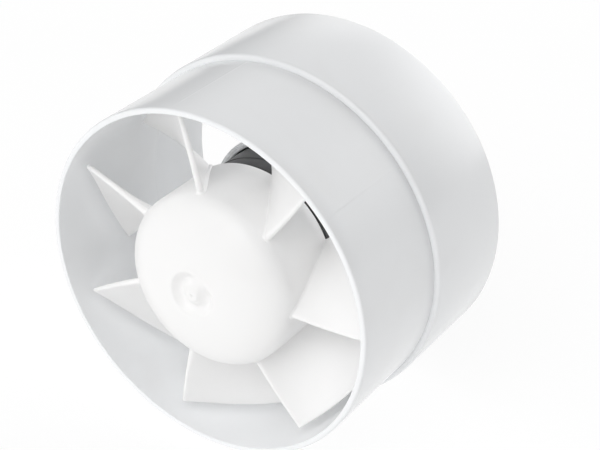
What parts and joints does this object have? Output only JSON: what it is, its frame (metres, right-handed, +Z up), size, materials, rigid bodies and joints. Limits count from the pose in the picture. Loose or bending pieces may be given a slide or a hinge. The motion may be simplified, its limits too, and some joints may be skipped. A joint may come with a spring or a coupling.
{
  "type": "inline bathroom extractor fan",
  "caption": "Inline duct extractor fan: two-part white tube casing with a shoulder, axial impeller on a domed hub, and a round motor in a three-armed holder.",
  "frame": {"origin": "on the fan axis, in the plane of the shoulder between the intake tube and the outlet tube", "axes": "+Y along the air flow, from intake to outlet; +Z up; +X to the right seen from the intake"},
  "size_m": [0.1294, 0.0885, 0.1309],
  "materials": {
    "casing_plastic": "glossy white ABS, cool white",
    "impeller_plastic": "satin white moulded plastic",
    "cover_plastic": "fine textured white plastic",
    "motor_housing": "dark grey moulded plastic",
    "plated_steel": "zinc plated steel",
    "lamination_steel": "stacked electrical steel",
    "bush_bronze": "oil-filled sintered bronze",
    "copper": "bare copper bar",
    "winding_copper": "enamelled copper wire",
    "nylon": "natural nylon",
    "fuse_sleeve": "white woven sleeve",
    "grommet_rubber": "soft black rubber",
    "lead_brown": "PVC insulation",
    "lead_blue": "PVC insulation"
  },
  "bodies": {
    "housing": {"intake_casing": "casing_plastic", "outlet_casing": "casing_plastic", "motor_holder": "casing_plastic", "motor_can": "motor_housing", "motor_shield": "motor_housing", "front_bush": "bush_bronze", "rear_bush": "bush_bronze", "stator_stack": "lamination_steel", "terminal_block": "nylon", "terminal_cover": "cover_plastic", "cable_grommet": "grommet_rubber", "motor_lead_live": "lead_brown", "motor_lead_neutral": "lead_blue", "thermal_fuse": "fuse_sleeve", "stator_coil_1": "winding_copper", "shading_ring_1": "copper", "motor_screw_1": "plated_steel", "stator_coil_2": "winding_copper", "shading_ring_2": "copper", "motor_screw_2": "plated_steel", "stator_coil_3": "winding_copper", "shading_ring_3": "copper", "motor_screw_3": "plated_steel", "stator_coil_4": "winding_copper", "shading_ring_4": "copper", "motor_screw_4": "plated_steel", "holder_screw_1": "plated_steel", "terminal_screw_1": "plated_steel", "holder_screw_2": "plated_steel", "terminal_screw_2": "plated_steel", "holder_screw_3": "plated_steel", "terminal_screw_3": "plated_steel", "cover_screw_1": "plated_steel", "cover_screw_2": "plated_steel"},
    "spinner": {"impeller": "impeller_plastic", "impeller_clip": "plated_steel", "shaft": "plated_steel", "rotor": "lamination_steel", "front_thrust_washer": "nylon", "rear_thrust_washer": "nylon"}
  },
  "joints": [
    {"name": "impeller_spin", "type": "hinge", "parent": "housing", "child": "spinner", "pos_m": [0, 0, 0], "axis": [0, 1, 0], "continuous": true}
  ]
}
